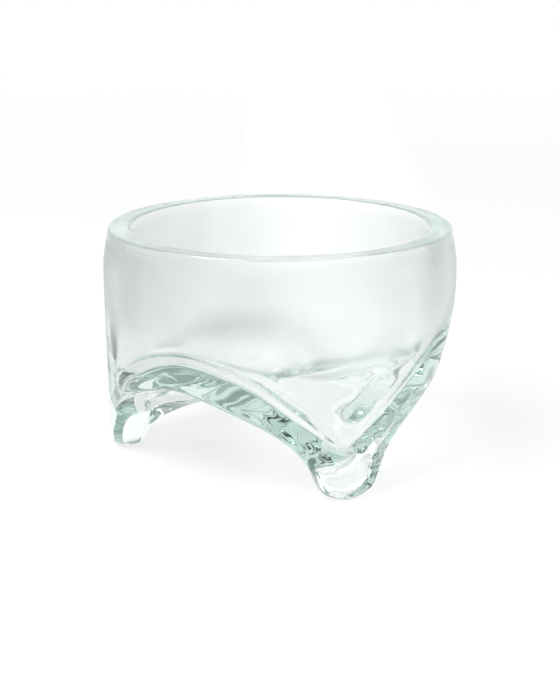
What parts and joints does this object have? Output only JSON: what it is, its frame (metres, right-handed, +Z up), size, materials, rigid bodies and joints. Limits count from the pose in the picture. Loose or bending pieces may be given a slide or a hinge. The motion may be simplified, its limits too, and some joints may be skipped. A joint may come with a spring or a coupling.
{
  "type": "floating candle bowl",
  "caption": "Thick clear glass bowl for a floating candle, with a flat-topped rim, a floor pushed up into arches and solid feet drawn out between them.",
  "frame": {"origin": "On the bowl's upright axis, in the plane that the feet stand on", "axes": "+Z runs up the bowl's axis to the rim. -Y points from the axis to the front foot, and +X points right when the front foot faces the viewer."},
  "size_m": [0.1524, 0.1524, 0.1016],
  "materials": {
    "clear_glass": "polished"
  },
  "bodies": {
    "root": {"glass_bowl": "clear_glass", "front_foot": "clear_glass", "left_foot": "clear_glass", "right_foot": "clear_glass"}
  },
  "joints": []
}
